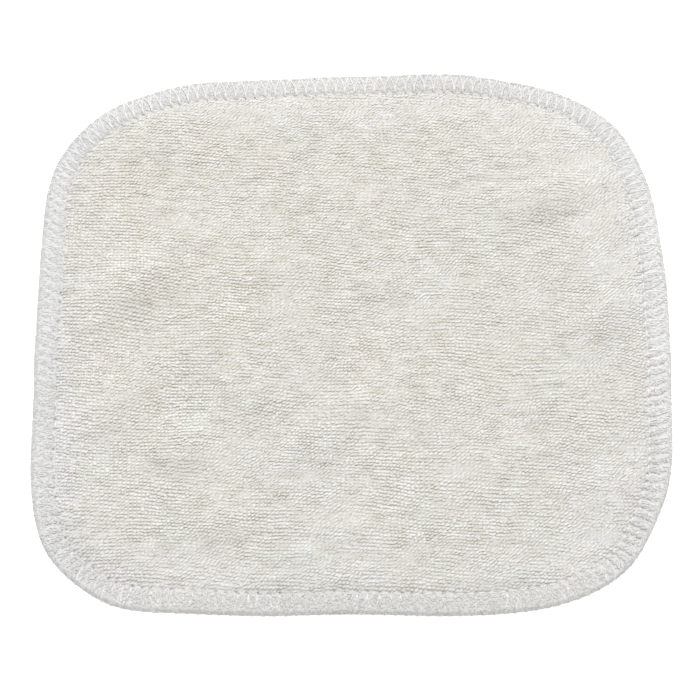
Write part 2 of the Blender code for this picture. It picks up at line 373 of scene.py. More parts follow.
class OverlockSizes(bpy.types.PropertyGroup):
    """Sizes and colour of the overlock thread."""

    stitch_count: IntProperty(
        name="Stitches", description="Overlock stitches round the edge", default=205)
    thread: FloatProperty(
        name="Thread", description="Diameter of the sewing thread",
        default=0.30 * MM, unit="LENGTH", precision=5)
    join: FloatProperty(
        name="Join", description="From the edge to where two legs of thread meet",
        default=4.0 * MM, unit="LENGTH", precision=5)
    colour: FloatVectorProperty(
        name="Thread Colour", description="Colour of the overlock thread",
        default=(0.97, 0.97, 0.97), subtype="COLOR", size=3)


class StageSizes(bpy.types.PropertyGroup):
    """The camera, the lights and the floor."""

    elevation: FloatProperty(
        name="Elevation", description="Angle of the camera over the floor",
        default=math.radians(68), subtype="ANGLE")
    distance: FloatProperty(
        name="Distance", description="From the camera to the point that it looks at",
        default=0.6, unit="LENGTH")
    lens: FloatProperty(
        name="Lens", description="Focal length in millimetres", default=115.5)
    key_power: FloatProperty(
        name="Key Power", description="Power of the large soft light", default=23.4)
    sky: FloatProperty(
        name="Sky", description="Strength of the even light all round", default=0.625)
    floor: FloatVectorProperty(
        name="Floor", description="Colour of the floor",
        default=(0.97, 0.97, 0.97), subtype="COLOR", size=3)
    floor_glow: FloatProperty(
        name="Floor Glow", description="Light that comes up through the floor", default=0.5)


def bell(distance):
    """Rounded bell: the square of one minus the distance squared, zero past one."""
    return np.clip(1.0 - distance * distance, 0.0, None) ** 2


def ripples(points, waves, count=28):
    """Smooth unevenness: a sum of plane waves in random directions, times a spread."""
    chance = np.random.default_rng(waves.seed)
    heading = chance.uniform(0, 2 * math.pi, count)
    pace = 2 * math.pi / (waves.length * MM * chance.uniform(0.7, 1.6, count))
    start = chance.uniform(0, 2 * math.pi, count)
    x, y = points[:, :1] * waves.drawn, points[:, 1:2]
    phase = x * (pace * np.cos(heading)) + y * (pace * np.sin(heading))
    return waves.spread * (np.cos(phase + start).sum(axis=1) * math.sqrt(2 / count))


def unit(vectors):
    """The vectors of an array, each scaled to length one."""
    return vectors / np.linalg.norm(vectors, axis=-1, keepdims=True)


def corner_arc(corner, far, count):
    """A quarter superellipse: cosine and sine, each raised to two over its fullness."""
    side_x, start_y = far[corner.x_side]
    end_x, side_y = far[corner.y_side]
    angle = np.linspace(0.0, math.pi / 2, count)
    x = end_x + (side_x - end_x) * np.cos(angle) ** (2 / corner.fullness_x)
    y = start_y + (side_y - start_y) * np.sin(angle) ** (2 / corner.fullness_y)
    return np.column_stack([x, y])


def even_spacing(points, count):
    """Points at equal steps of arc length round a closed line."""
    ring = np.vstack([points, points[:1]])
    step = np.hypot(*np.diff(ring, axis=0).T)
    ring = ring[np.concatenate([[True], step > 1e-9])]
    along = np.concatenate([[0.0], np.cumsum(np.hypot(*np.diff(ring, axis=0).T))])
    wanted = np.linspace(0.0, along[-1], count, endpoint=False)
    return np.column_stack([np.interp(wanted, along, ring[:, axis]) for axis in (0, 1)])


def ring_outward(points):
    """Unit vectors at right angles to an anticlockwise ring, pointing out."""
    tangent = unit(np.roll(points, -1, axis=0) - np.roll(points, 1, axis=0))
    return np.column_stack([tangent[:, 1], -tangent[:, 0]])


def cut_edge():
    """The cut edge: four superellipse quarters with swellings, fitted to the node's box."""
    half_x, half_y = CUT_HALF
    far = {
        "right": (half_x, FURTHEST["right"]),
        "left": (-half_x, FURTHEST["left"]),
        "back": (FURTHEST["back"], half_y),
        "front": (FURTHEST["front"], -half_y),
    }
    arcs = []
    for corner in CORNERS:
        arc = corner_arc(corner, far, EDGE_SAMPLES // 4)
        runs_clockwise = (corner.x_side == "left") != (corner.y_side == "front")
        arcs.append(arc[::-1] if runs_clockwise else arc)
    ring = even_spacing(np.vstack(arcs), EDGE_SAMPLES)
    shift = np.zeros(len(ring))
    for swelling in SWELLINGS:
        away = np.hypot(ring[:, 0] - swelling.x * MM, ring[:, 1] - swelling.y * MM)
        shift += swelling.out * MM * bell(away / (swelling.reach * MM))
    ring = ring + ring_outward(ring) * shift[:, None]
    low, high = ring.min(axis=0), ring.max(axis=0)
    size = np.array(CLOTH_HIGH[:2]) - np.array(CLOTH_LOW[:2])
    middle = (np.array(CLOTH_HIGH[:2]) + np.array(CLOTH_LOW[:2])) / 2
    return (ring - (low + high) / 2) * size / (high - low) + middle


EDGE = cut_edge()
EDGE_OUT = ring_outward(EDGE)
EDGE_STEP = float(np.linalg.norm(np.roll(EDGE, -1, axis=0) - EDGE, axis=1).mean())
EDGE_LENGTH = EDGE_STEP * EDGE_SAMPLES


def at_edge(place):
    """Point and outward direction at places from 0 to 1 along the cut edge."""
    spot = np.mod(place, 1.0) * EDGE_SAMPLES
    first = np.floor(spot).astype(int) % EDGE_SAMPLES
    part = (spot - np.floor(spot))[..., None]
    second = (first + 1) % EDGE_SAMPLES
    point = EDGE[first] * (1 - part) + EDGE[second] * part
    out = unit(EDGE_OUT[first] * (1 - part) + EDGE_OUT[second] * part)
    return point, out


def edge_place(points):
    """Distance in from the cut edge, and place along it, of each point in plan."""
    depth = np.empty(len(points))
    place = np.empty(len(points))
    for start in range(0, len(points), CHUNK):
        some = points[start:start + CHUNK, :2]
        apart = some[:, None, :] - EDGE[None, :, :]
        nearest = np.argmin((apart ** 2).sum(axis=2), axis=1)
        offset = some - EDGE[nearest]
        out = EDGE_OUT[nearest]
        depth[start:start + CHUNK] = -(offset * out).sum(axis=1)
        forward = offset[:, 1] * out[:, 0] - offset[:, 0] * out[:, 1]
        along = np.clip(forward / EDGE_STEP, -0.5, 0.5)
        place[start:start + CHUNK] = (nearest + along) / EDGE_SAMPLES
    return depth, np.mod(place, 1.0)


def stretch_value(column, place):
    """A column of the stretch table at places along the edge, blended by bearing."""
    point, _ = at_edge(place)
    bearing = np.degrees(np.arctan2(point[..., 1], point[..., 0])) % 360
    rows = [row.bearing for row in STRETCHES]
    values = [getattr(row, column) for row in STRETCHES]
    return np.interp(bearing, rows, values, period=360)


def needle_line(place):
    """How far in from the edge the needle line runs, in metres."""
    return MM * stretch_value("line", place)


def section_value(section, depth):
    """A height of a section table at distances in from the edge, in metres."""
    inward = [row.inward * MM for row in section]
    heights = [row.height * MM for row in section]
    return np.interp(depth, inward, heights)


def turned_bell(points, row):
    """A bell over an ellipse with a table row's place, turn, length and width."""
    turn = math.radians(row.turn)
    dx = points[:, 0] - row.x * MM
    dy = points[:, 1] - row.y * MM
    along = (dx * math.cos(turn) + dy * math.sin(turn)) / (row.length * MM / 2)
    across = (dy * math.cos(turn) - dx * math.sin(turn)) / (row.width * MM / 2)
    return bell(np.hypot(along, across))


def lift(points):
    """Height of the base over the floor: the sum of the ridges' bells."""
    height = np.zeros(len(points))
    for ridge in RIDGES:
        height += ridge.height * MM * turned_bell(points, ridge)
    return height


def band_relief(depth, place, sizes):
    """Furrows along the threads, the groove at the needle line and the needle's holes:
    bells across the thread, across the line and round each hole, in metres."""
    pitch = EDGE_LENGTH / sizes.stitch_count
    line = needle_line(place)
    skew = stretch_value("skew", place)
    lean = 0.5 * skew + 0.5 * np.clip(2 * skew, -1, 1)
    turn = place * sizes.stitch_count - lean * np.clip(1 - depth / sizes.join, 0, 1)
    from_thread = (np.mod(turn + 0.5, 1.0) - 0.5) * pitch
    furrow = np.exp(-(from_thread / FURROW_WIDTH) ** 2)
    within = np.clip((depth - 0.5 * MM) / (1.0 * MM), 0, 1)
    within *= np.clip((line + 0.4 * MM - depth) / (0.8 * MM), 0, 1)
    groove = np.exp(-((depth - line - GROOVE_PAST) / GROOVE_WIDTH) ** 2)
    pressed = stretch_value("furrow", place) * furrow * within
    pressed += stretch_value("groove", place) * groove
    return -MM * (pressed + HOLE_DEPTH * needle_holes(depth, place, sizes))


def white_share(depth, place):
    """Share of white in the pile: from the rim's to the needle line's along a straight
    line, then over 0.8 mm to the halo's, which fades as an exponential over 8 mm."""
    line = needle_line(place)
    inward = np.clip(depth / line, 0, 1)
    inner = stretch_value("inner", place)
    past = depth - line
    halo = stretch_value("halo", place) * np.exp(-np.clip(past, 0, None) / (8 * MM))
    step = np.clip(past / (0.8 * MM), 0, 1)
    in_band = stretch_value("white", place) * (1 - inward) + inner * inward
    return in_band * (1 - step) + halo * step


def painted_band_shade(depth, place):
    """Painted shade on the band's pile: a share of its light taken away up to 4 mm in from the
    edge, and less and less of it up to 7 mm; painted light where the share is negative."""
    fading = np.clip((7 * MM - depth) / (3 * MM), 0, 1)
    return 1 - BAND_PAINTED_SHADE * stretch_value("dull", place) * fading


def needle_holes(depth, place, sizes):
    """A round bell at each stitch on the needle line."""
    turn = np.mod(place * sizes.stitch_count + 0.5, 1.0) - 0.5
    along = turn * EDGE_LENGTH / sizes.stitch_count
    return np.exp(-(np.hypot(along, depth - needle_line(place)) / HOLE_WIDTH) ** 2)


def pile_height(depth, place):
    """How far the loops stand over the ground: the fuzz in the band, more past it."""
    from_line = depth - needle_line(place)
    fuzz = MM * stretch_value("fuzz", place) * np.clip((1.0 * MM - from_line) / (1.6 * MM), 0, 1)
    return np.maximum(fuzz, section_value(PILE_SECTION, from_line + LINE_IN_SECTION))


def ground_top(points, depth, place, sizes):
    """Height of the ground's upper face: lift, section, band relief and slight dents."""
    inside = np.clip((depth - 2 * MM) / (6 * MM), 0, 1)
    section = section_value(GROUND_SECTION, depth * LINE_IN_SECTION / needle_line(place))
    relief = band_relief(depth, place, sizes)
    return lift(points) + section + relief + ripples(points, DENTS) * inside


def mesh_piece(name, points, faces, material):
    """An object at the origin from an array of points and one of equal faces."""
    data = bpy.data.meshes.new(name)
    sides = faces.shape[1]
    data.vertices.add(len(points))
    data.vertices.foreach_set("co", points.astype(np.float32).ravel())
    data.loops.add(faces.size)
    data.loops.foreach_set("vertex_index", faces.astype(np.int32).ravel())
    data.polygons.add(len(faces))
    data.polygons.foreach_set("loop_start", np.arange(0, faces.size, sides, dtype=np.int32))
    data.update(calc_edges=True)
    data.validate()
    data.shade_smooth()
    data.materials.append(material)
    piece = bpy.data.objects.new(name, data)
    bpy.context.scene.collection.objects.link(piece)
    return piece


def paint_points(piece, name, values):
    """A colour attribute on the piece's points."""
    layer = piece.data.color_attributes.new(name, "FLOAT_COLOR", "POINT")
    flat = np.column_stack([values, np.ones(len(values))]).astype(np.float32)
    layer.data.foreach_set("color", flat.ravel())


def carry(piece):
    """Let a piece ride with the cloth."""
    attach(piece, "root")


def fill(tree, socket, value):
    """Link an output to a socket, or set the socket's own value, opaque for a colour."""
    if isinstance(value, bpy.types.NodeSocket):
        tree.links.new(value, socket)
    elif socket.type == "RGBA":
        socket.default_value = (*value, 1.0)
    else:
        socket.default_value = value


def place_node(tree, kind, at, *inputs, **values):
    """A shader node. Plain arguments fill its sockets in order, and named ones are its
    settings or fill sockets by name. An output given for a socket is linked to it."""
    node = tree.nodes.new(kind)
    node.location = at
    settings = [key for key in values if hasattr(node, key)]
    for key in settings:
        setattr(node, key, values.pop(key))
    for socket, value in zip(node.inputs, inputs):
        fill(tree, socket, value)
    for key, value in values.items():
        fill(tree, node.inputs[key.replace("_", " ")], value)
    return node


def math_value(tree, at, operation, *inputs, clamp=False):
    """What a math node gives for its inputs."""
    node = place_node(tree, "ShaderNodeMath", at, *inputs, operation=operation, use_clamp=clamp)
    return node.outputs[0]


def noise(tree, at, where, scale, detail, roughness=0.5):
    """Smooth noise from 0 to 1 over a place."""
    node = place_node(tree, "ShaderNodeTexNoise", at, where, Scale=scale, Detail=detail,
                      Roughness=roughness)
    return node.outputs["Fac"]


def object_place(tree, at):
    """The place on the piece, in its own coordinates."""
    return place_node(tree, "ShaderNodeTexCoord", at).outputs["Object"]


def new_group(name, inputs, outputs):
    """An empty node group of number sockets: its tree, what it's given and its results."""
    tree = bpy.data.node_groups.new(name, "ShaderNodeTree")
    for direction, sockets in (("INPUT", inputs), ("OUTPUT", outputs)):
        for socket in sockets:
            tree.interface.new_socket(socket, in_out=direction, socket_type="NodeSocketFloat")
    start = place_node(tree, "NodeGroupInput", (-600, 0))
    end = place_node(tree, "NodeGroupOutput", (600, 0))
    return tree, start.outputs, end.inputs


def fibre_group():
    """Node group: fine cotton fibres as a height, a broad mottle, and a matted felt
    between them, all from 0 to 1."""
    tree, given, result = new_group("cotton fibres", ["Scale"], ["Height", "Mottle", "Felt"])
    where = object_place(tree, (-600, 200))
    fill(tree, result["Height"], noise(tree, (-300, 100), where, given["Scale"], 2.0, 0.6))
    fill(tree, result["Mottle"], noise(tree, (-300, -200), where, 450.0, 3.0))
    fill(tree, result["Felt"], noise(tree, (-300, -500), where, 1500.0, 3.0))
    return tree


def tint_group():
    """Node group: patches of warmer and cooler, and of greener and pinker, cotton.

    Warmth is broad patches, fine flecks and a slow slope over the cloth, summed."""
    tree, _, result = new_group("cotton tint", [], ["Warmth", "Green"])
    where = object_place(tree, (-600, 0))
    patches = noise(tree, (-300, 150), where, 38.0, 2.5)
    slope = place_node(tree, "ShaderNodeVectorMath", (-300, -150), where, WARM_SLOPE,
                       operation="DOT_PRODUCT")
    flecks = noise(tree, (-300, -350), where, 70.0, 3.0, 1.0)
    spread = math_value(tree, (-100, -350), "MULTIPLY_ADD", flecks, FLECK_SPREAD, -FLECK_SPREAD / 2)
    broad = math_value(tree, (100, 100), "ADD", patches, slope.outputs["Value"])
    fill(tree, result["Warmth"], math_value(tree, (300, 0), "ADD", broad, spread, clamp=True))
    aside = place_node(tree, "ShaderNodeVectorMath", (-450, -650), where, (3.0, 7.0, 1.0),
                       operation="ADD")
    fill(tree, result["Green"],
         noise(tree, (-300, -650), aside.outputs["Vector"], 95.0, 2.5, 1.0))
    return tree


def shared_group(tree, at, name, maker, **values):
    """A node of the group of that name, which its function makes the first time."""
    found = bpy.data.node_groups.get(name)
    return place_node(tree, "ShaderNodeGroup", at, node_tree=found if found else maker(), **values)


def new_material(name, roughness, sheen):
    """A material with its tree, its shader and plain values on the shader's sockets."""
    material = bpy.data.materials.new(name)
    material.use_nodes = True
    tree = material.node_tree
    shader = tree.nodes["Principled BSDF"]
    shader.inputs["Roughness"].default_value = roughness
    shader.inputs["Sheen Weight"].default_value = sheen
    shader.inputs["Sheen Roughness"].default_value = 0.5
    shader.inputs["Specular IOR Level"].default_value = 0.2
    return material, tree, shader


def mix_colour(tree, at, factor, first, second, blend="MIX"):
    """Two colours mixed or blended by a factor."""
    node = place_node(tree, "ShaderNodeMix", at, factor, data_type="RGBA", blend_type=blend)
    fill(tree, node.inputs[6], first)
    fill(tree, node.inputs[7], second)
    return node.outputs[2]


def point_state(tree, at):
    """The painted channels: nearness to the loop's tip, shade and share of white."""
    state = place_node(tree, "ShaderNodeVertexColor", at, layer_name="pile_state")
    apart = place_node(tree, "ShaderNodeSeparateColor", (at[0] + 200, at[1]), state.outputs["Color"])
    return [apart.outputs[channel] for channel in ("Red", "Green", "Blue")]


def three_channels(tree, at, *values):
    """A colour from its red, green and blue."""
    return place_node(tree, "ShaderNodeCombineColor", at, *values).outputs["Color"]


def fibre_bump(tree, scale, strength, distance):
    """The fibre group's outputs, and the normal that its fine height bends."""
    fibres = shared_group(tree, (-900, -400), "cotton fibres", fibre_group, Scale=scale).outputs
    bump = place_node(tree, "ShaderNodeBump", (-300, -400), Strength=strength, Distance=distance,
                      Height=fibres["Height"])
    return fibres, bump.outputs["Normal"]


def pile_material(sizes):
    """Cream cotton loops in tinted patches: browner and darker at their roots as painted
    shade in the gaps, uneven from loop to loop, with painted light and shade in places, and whiter
    and matted in the band."""
    material, tree, shader = new_material("cream terry pile", 0.92, 0.12)
    tip, shade, white = point_state(tree, (-1300, 200))
    tint = shared_group(tree, (-1100, 450), "cotton tint", tint_group).outputs
    fibres, fine = fibre_bump(tree, 6000.0, 0.5, 0.08 * MM)
    felt = math_value(tree, (-500, -650), "MULTIPLY", fibres["Felt"], white)
    matted = place_node(tree, "ShaderNodeBump", (-100, -500), Strength=0.6, Distance=0.25 * MM,
                        Height=felt, Normal=fine)
    fill(tree, shader.inputs["Normal"], matted.outputs["Normal"])
    cream = np.array(sizes.cream)
    warm = mix_colour(tree, (-850, 450), tint["Warmth"], cream * COOLER, cream * WARMER)
    banded = mix_colour(tree, (-650, 350), white, warm, sizes.white)
    blush = mix_colour(tree, (-850, 650), tint["Green"], PINKER, GREENER)
    dyed = mix_colour(tree, (-550, 550), 1.0, banded, blush, "MULTIPLY")
    # Painted shade at the roots: the feet are browned and darkened, and the tip channel mixes back
    # to the dyed colour
    root = mix_colour(tree, (-650, 100), 1.0, dyed, ROOT_PAINTED_SHADE, "MULTIPLY")
    grown = mix_colour(tree, (-450, 250), tip, root, dyed)
    grey = three_channels(tree, (-650, -100), shade, shade, shade)
    powers = [math_value(tree, (-850, -250), "POWER", shade, power) for power in SHADE_POWERS]
    brown = three_channels(tree, (-650, -250), *powers)
    shaded = mix_colour(tree, (-450, -150), white, brown, grey)
    uneven = mix_colour(tree, (-250, 200), 1.0, grown, shaded, "MULTIPLY")
    mottled = mix_colour(tree, (-50, 200), fibres["Mottle"], uneven, (0.985, 0.98, 0.97), "MULTIPLY")
    fill(tree, shader.inputs["Base Color"], mottled)
    return material


def ground_material(sizes):
    """Plain knitted cotton: columns of small V stitches on the under face, darker in their hollows
    as painted shade, with the band's painted shade and light from the point colours.

    A stitch is a zigzag across its column times a zigzag along it, slanted by the first."""
    material, tree, shader = new_material("knitted cotton ground", 0.95, 0.08)
    where = object_place(tree, (-1500, 0))
    apart = place_node(tree, "ShaderNodeSeparateXYZ", (-1300, 0), where).outputs
    column = math_value(tree, (-1100, 100), "MULTIPLY", apart["X"], 1.0 / sizes.column_step)
    centre = math_value(tree, (-900, 100), "PINGPONG", column, 0.5)
    rise = math_value(tree, (-900, -100), "MULTIPLY", apart["Y"], 1.0 / sizes.row_step)
    slanted = math_value(tree, (-700, -50), "ADD", centre, rise)
    row = math_value(tree, (-500, -50), "PINGPONG", slanted, 0.5)
    stitch = math_value(tree, (-300, 0), "MULTIPLY", row, centre)
    bump = place_node(tree, "ShaderNodeBump", (-100, -200), Strength=0.9, Distance=0.4 * MM,
                      Height=stitch)
    fill(tree, shader.inputs["Normal"], bump.outputs["Normal"])
    cream, white = np.array(sizes.cream), np.array(sizes.white)
    _, shade, share = point_state(tree, (-700, 300))
    # Painted shade: darker in the stitches' hollows
    body = mix_colour(tree, (-300, 400), stitch, cream * STITCH_HOLLOW_SHADE, cream * STITCH_CROWN)
    colour = mix_colour(tree, (-100, 200), share, body, white * 0.97)
    # Painted shade and light of the band, from the point colours
    grey = three_channels(tree, (-300, 150), shade, shade, shade)
    band_shaded = mix_colour(tree, (100, 200), 1.0, colour, grey, "MULTIPLY")
    fill(tree, shader.inputs["Base Color"], band_shaded)
    return material


def thread_material(sizes):
    """White spun thread: a fine twist across its length, and slight unevenness."""
    material, tree, shader = new_material("white overlock thread", 0.6, 0.1)
    route = place_node(tree, "ShaderNodeUVMap", (-1100, 0), uv_map="thread")
    twist = place_node(tree, "ShaderNodeTexWave", (-900, 0), route.outputs["UV"],
                       bands_direction="DIAGONAL", Scale=1.0)
    fibres, fine = fibre_bump(tree, 9000.0, 0.3, 0.04 * MM)
    fill(tree, shader.inputs["Normal"], fine)
    white = np.array(sizes.colour)
    ply = mix_colour(tree, (-500, 200), twist.outputs["Fac"], white * 0.93, white)
    mottled = mix_colour(tree, (-300, 200), fibres["Mottle"], ply, (0.97, 0.97, 0.98), "MULTIPLY")
    fill(tree, shader.inputs["Base Color"], mottled)
    return material


def closed_surface(rings, top, bottom):
    """Points and triangles of a surface of equal rings from a top point to a bottom one."""
    count = len(rings[0])
    points = np.vstack([top, *rings, bottom])
    i = np.arange(count)
    j = (i + 1) % count
    strips = []
    for k in range(len(rings) - 1):
        a, b = 1 + k * count, 1 + (k + 1) * count
        strips.append(np.column_stack([a + i, b + i, b + j]))
        strips.append(np.column_stack([a + i, b + j, a + j]))
    last = 1 + (len(rings) - 1) * count
    strips.append(np.column_stack([np.zeros(count, int), 1 + i, 1 + j]))
    strips.append(np.column_stack([np.full(count, len(points) - 1), last + j, last + i]))
    return points, np.vstack(strips)


def build_ground(cloth, overlock):
    """The ground as one closed surface of two parameters: place along the edge, and a
    section that runs from the middle of the top, over the rounded rim, to the middle
    of the under face."""
    count = 3 * overlock.stitch_count
    edge, out = at_edge(np.arange(count) / count)
    middle = np.zeros((1, 2))

    def top(plan):
        return np.column_stack([plan, ground_top(plan, *edge_place(plan), overlock)])

    def under(plan):
        return np.column_stack([plan, lift(plan) + UNDER_FACE])

    rings = [top(edge * share) for share in FIELD_RINGS]
    rings += [top(edge - out * (inward * MM)) for inward in BAND_RINGS]
    for angle in np.radians(RIM_RINGS):
        plan = edge - out * (NOSE_CENTRE - GROUND_NOSE * math.cos(angle))
        height = lift(plan) + NOSE_CENTRE + GROUND_NOSE * math.sin(angle)
        rings.append(np.column_stack([plan, height]))
    rings += [under(edge - out * (inward * MM)) for inward in UNDER_RINGS]
    rings += [under(edge * share) for share in FIELD_RINGS[::-7]]
    points, triangles = closed_surface(rings, top(middle), under(middle))
    piece = mesh_piece("knitted_ground", points, triangles, ground_material(cloth))
    depth, where = edge_place(points)
    white = white_share(depth, where)
    # The green channel is the band's painted shade and light
    paint_points(piece, "pile_state", np.column_stack([0 * white, painted_band_shade(depth, where), white]))
    carry(piece)
    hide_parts(CLOTH_NODE)


def loop_template():
    """One loop in its own frame: three rings of four points along an arch, and two feet.

    Gives along, side, up and tip of each point, in halves of the loop's length, halves of
    its width and its height, and the triangles that close it."""
    stations = np.array([-0.62, 0.0, 0.62])
    section_side = np.array([0.98, 0.52, -0.52, -0.98])
    section_up = np.array([-0.40, 0.96, 0.96, -0.40])
    arch = 1.0 - 0.60 * stations ** 2
    taper = np.sqrt(1.0 - 0.45 * stations ** 2)
    sides = len(section_side)
    along = np.repeat(stations, sides)
    side = np.outer(taper, section_side).ravel()
    up = (0.40 * arch[:, None] + 0.60 * np.outer(taper, section_up)).ravel()
    tip = np.clip(up, 0, 1)
    along = np.concatenate([along, [-1.0, 1.0]])
    side = np.concatenate([side, [0.0, 0.0]])
    up = np.concatenate([up, [-0.45, -0.45]])
    tip = np.concatenate([tip, [0.0, 0.0]])
    faces = []
    for k in range(sides):
        n = (k + 1) % sides
        for ring in (0, sides):
            faces.append((ring + k, ring + sides + n, ring + sides + k))
            faces.append((ring + k, ring + n, ring + sides + n))
        faces.append((3 * sides, n, k))
        faces.append((3 * sides + 1, 2 * sides + k, 2 * sides + n))
    return Loop(along, side, up, tip, np.array(faces))


LOOP = loop_template()


def loops_mesh(spots, measures, frames, shades):
    """Copies of the loop as whole arrays of points and colours, a row for each loop.

    A point is its spot plus the along, side and up vectors, each times the template's
    share of the loop's length, width and height, and the side bends by the curl towards
    the feet. The shades are each loop's shade, its share of white and how far its feet
    are as pale as its tip."""
    length, width, height, curl = measures
    heading, across, normal = frames
    run = LOOP.along * length[:, None] / 2
    sway = LOOP.side * width[:, None] / 2 + curl[:, None] * LOOP.along ** 2
    rise = LOOP.up * height[:, None]
    points = spots[:, None, :] + run[..., None] * heading[:, None, :]
    points = points + sway[..., None] * across[:, None, :] + rise[..., None] * normal[:, None, :]
    colours = np.empty(points.shape)
    colours[..., 0] = LOOP.tip + (1 - LOOP.tip) * shades[:, 2:]
    colours[..., 1] = shades[:, :1]
    colours[..., 2] = shades[:, 1:2]
    return points, colours


def pile_spots(cloth):
    """Where the loops stand: a sheared lattice of rows and columns, gently warped."""
    columns = np.arange(-LATTICE_REACH, LATTICE_REACH, cloth.column_step)
    rows = np.arange(-LATTICE_REACH, LATTICE_REACH, cloth.row_step)
    x, y = np.meshgrid(columns, rows)
    y = y - x * math.tan(cloth.row_fall)
    spots = np.column_stack([x.ravel(), y.ravel()])
    chance = np.random.default_rng(cloth.seed)
    spots = spots + chance.normal(0, SPOT_SPREAD, spots.shape)
    bend = np.column_stack([ripples(spots, waves) for waves in ROW_BENDS])
    stir = np.column_stack([ripples(spots, waves) for waves in LOOP_STIRS])
    slide = ripples(spots, ROW_SLIDE) * (1 - 0.8 * np.clip(plumpness(spots), 0, 1))
    return spots + bend + stir + np.column_stack([slide, np.zeros(len(spots))])


def ground_normals(spots, overlock):
    """Unit normals of the ground's upper face, from height differences over a short step."""
    step = 0.5 * MM
    heights = []
    for move in ((step, 0), (-step, 0), (0, step), (0, -step)):
        moved = spots + move
        heights.append(ground_top(moved, *edge_place(moved), overlock))
    slope_x = (heights[0] - heights[1]) / (2 * step)
    slope_y = (heights[2] - heights[3]) / (2 * step)
    return unit(np.column_stack([-slope_x, -slope_y, np.ones(len(spots))]))


def plumpness(spots):
    """How round the loops are, from -1 to 1: slow ripples and the patches of the nap."""
    plump = ripples(spots, NAP_WAVES)
    for nap in NAPS:
        along = (spots[:, 0] / MM - nap.x) / nap.reach_x
        across = (spots[:, 1] / MM - nap.y) / nap.reach_y
        plump += nap.plump * bell(np.hypot(along, across))
    return np.clip(plump, -1, 1)


def nap_change(change, plump):
    """A change that grows with the loops' plumpness, or with how far they're brushed."""
    return change.plump * np.clip(plump, 0, 1) + change.brushed * np.clip(-plump, 0, 1)


def crease_shade(spots):
    """Painted shade along the creases, painted light where negative: the sum of their bells."""
    share = np.zeros(len(spots))
    for row in PAINTED_CREASE_SHADES:
        share += row.share * turned_bell(spots, row)
    return share


def lie_along(angle, normal):
    """Unit vectors at an angle in plan, laid on the surface, and those across them."""
    heading = np.column_stack([np.cos(angle), np.sin(angle), np.zeros(len(angle))])
    heading = unit(heading - normal * (heading * normal).sum(axis=1)[:, None])
    return heading, np.cross(normal, heading)


def pile_loops(cloth, overlock):
    """Points and colours of the field's loops, row by row from the front."""
    spots = pile_spots(cloth)
    depth, place = edge_place(spots)
    kept = depth > needle_line(place) + FIELD_START
    spots, depth, place = spots[kept], depth[kept], place[kept]
    count = len(spots)
    chance = np.random.default_rng(cloth.seed + 1)
    plump = plumpness(spots)
    round_share, brushed = np.clip(plump, 0, 1), np.clip(-plump, 0, 1)
    slant = cloth.loop_slant + nap_change(TURN_CHANGE, plump) + ripples(spots, SLANT_WAVES)
    slant += math.radians(9) * chance.normal(size=count) * (1 - 0.2 * brushed)
    sway = chance.normal(0, 0.08, (2, count))
    lean = [ripples(spots, waves) + part for waves, part in zip(LEAN_WAVES, sway)]
    normal = unit(ground_normals(spots, overlock) + np.column_stack([*lean, np.zeros(count)]))
    vary = np.clip(chance.normal(size=(3, count)), -2, 2) * np.array(LOOP_VARIES)[:, None]
    length = cloth.loop_length * (1 + nap_change(LENGTH_CHANGE, plump) + vary[0])
    width = cloth.loop_width * (1 + nap_change(WIDTH_CHANGE, plump) + vary[1])
    swell = 1 + ripples(spots, SWELL_WAVES) * (1 - 0.7 * round_share)
    swell *= 1 + nap_change(SWELL_CHANGE, plump)
    height = LOOP_HEIGHT * pile_height(depth, place) * np.clip((1 + vary[2]) * swell, LOWEST, None)
    curl = 0.10 * MM * chance.normal(size=count)
    sunk = SUNK_DEPTH * (chance.random(count) < SUNK_SHARE)
    base = np.column_stack([spots, ground_top(spots, depth, place, overlock) - sunk])
    clumps = ripples(spots, CLUMPS)
    # Random streaks and clumps of tone, plus painted light where loops are plump
    streaks_and_plump_light = 1 + ripples(spots, STREAKS) + PLUMP_PAINTED_LIGHT * round_share + CLUMP_GLOW * clumps
    # How far the feet escape the painted root shade: more on clumps and where brushed
    feet = np.clip(FEET_PALE + 0.35 * clumps + 0.45 * brushed, 0, 1)
    # Random tone from loop to loop, times the band's painted shade and light
    shade = (1 - 0.08 * chance.random(count)) * painted_band_shade(depth, place) * streaks_and_plump_light
    shade *= 1 - 0.10 * (chance.random(count) < 0.015)
    # Painted shade along the creases, painted light where the share is negative
    shade *= 1 - CREASE_SHADE_DARK * crease_shade(spots)
    # Painted shade in the needle holes
    shade *= 1 - 0.25 * needle_holes(depth, place, overlock)
    # Painted light just past the needle line
    shade *= 1 + LINE_PAINTED_LIGHT * np.exp(-np.clip(depth - needle_line(place), 0, None) / (3 * MM))
    shades = np.column_stack([shade, white_share(depth, place), feet])
    frames = (*lie_along(slant, normal), normal)
    return loops_mesh(base, (length, width, height, curl), frames, shades)


def shaken_grid(chance, rows, step):
    """Place along the edge and share across, from 0 to 1, one spot in each cell."""
    around = int(EDGE_LENGTH / step)
    place = (np.arange(around)[None, :] + chance.random((rows, around))) / around
    share = (np.arange(rows)[:, None] + chance.random((rows, around))) / rows
    return place.ravel(), share.ravel()


